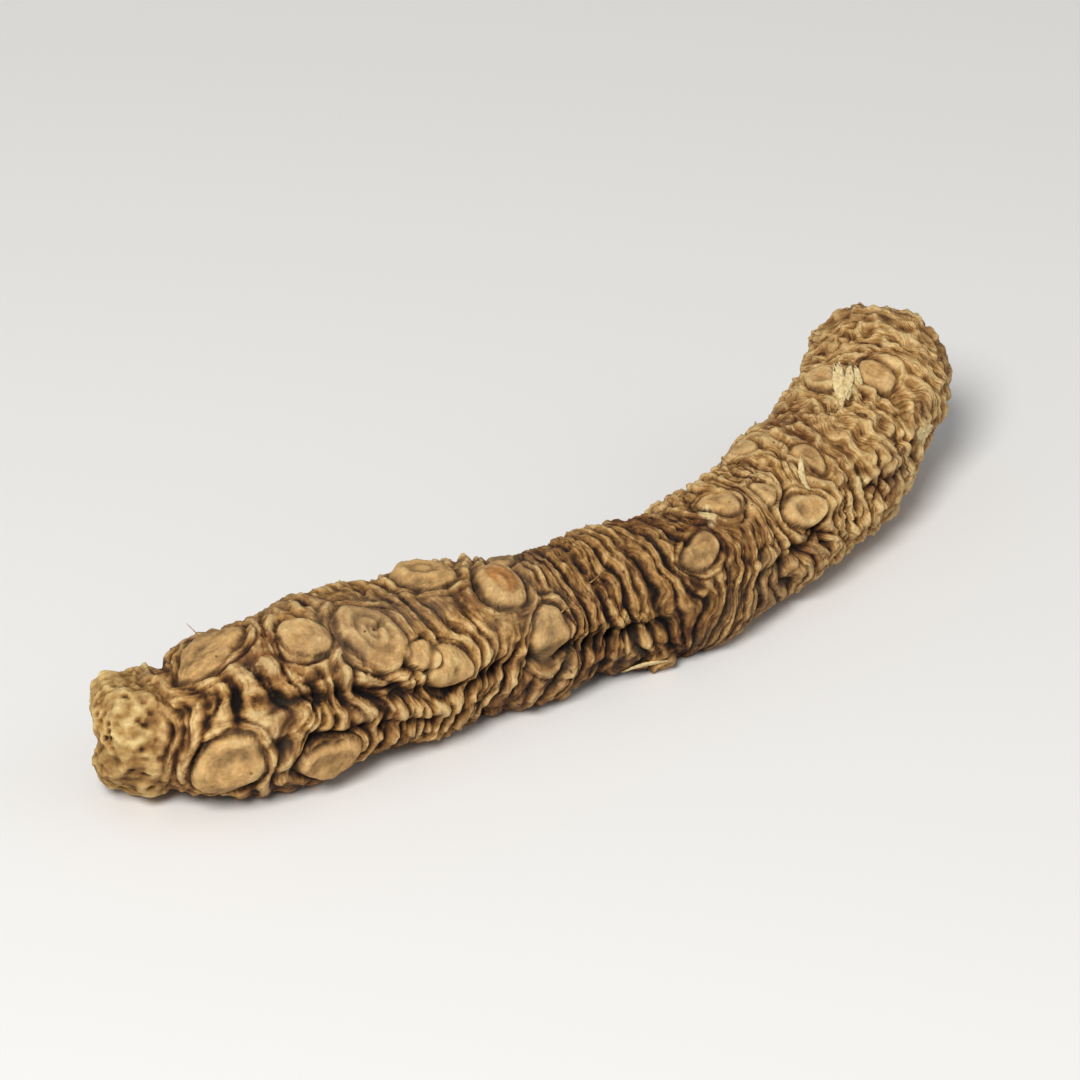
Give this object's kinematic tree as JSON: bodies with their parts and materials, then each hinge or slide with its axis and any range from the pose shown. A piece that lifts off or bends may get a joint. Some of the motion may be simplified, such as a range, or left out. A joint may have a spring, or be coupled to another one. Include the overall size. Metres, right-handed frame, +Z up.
{
  "type": "dried orris root",
  "caption": "Dried orris root: one gently bent rhizome piece with pleated ring-wrinkled bark, round root scars and broken ends, lying at rest.",
  "frame": {"origin": "centre of the bounding box at its base, on the surface that the root lies on", "axes": "+Z up, +X along the root from its old broken end to its crown end, which rises a little"},
  "size_m": [0.0902, 0.023, 0.0142],
  "materials": {
    "dried_bark": "matte dried bark, tan crests and dark brown creases"
  },
  "bodies": {
    "root": {"orris_root": "dried_bark"}
  },
  "joints": []
}
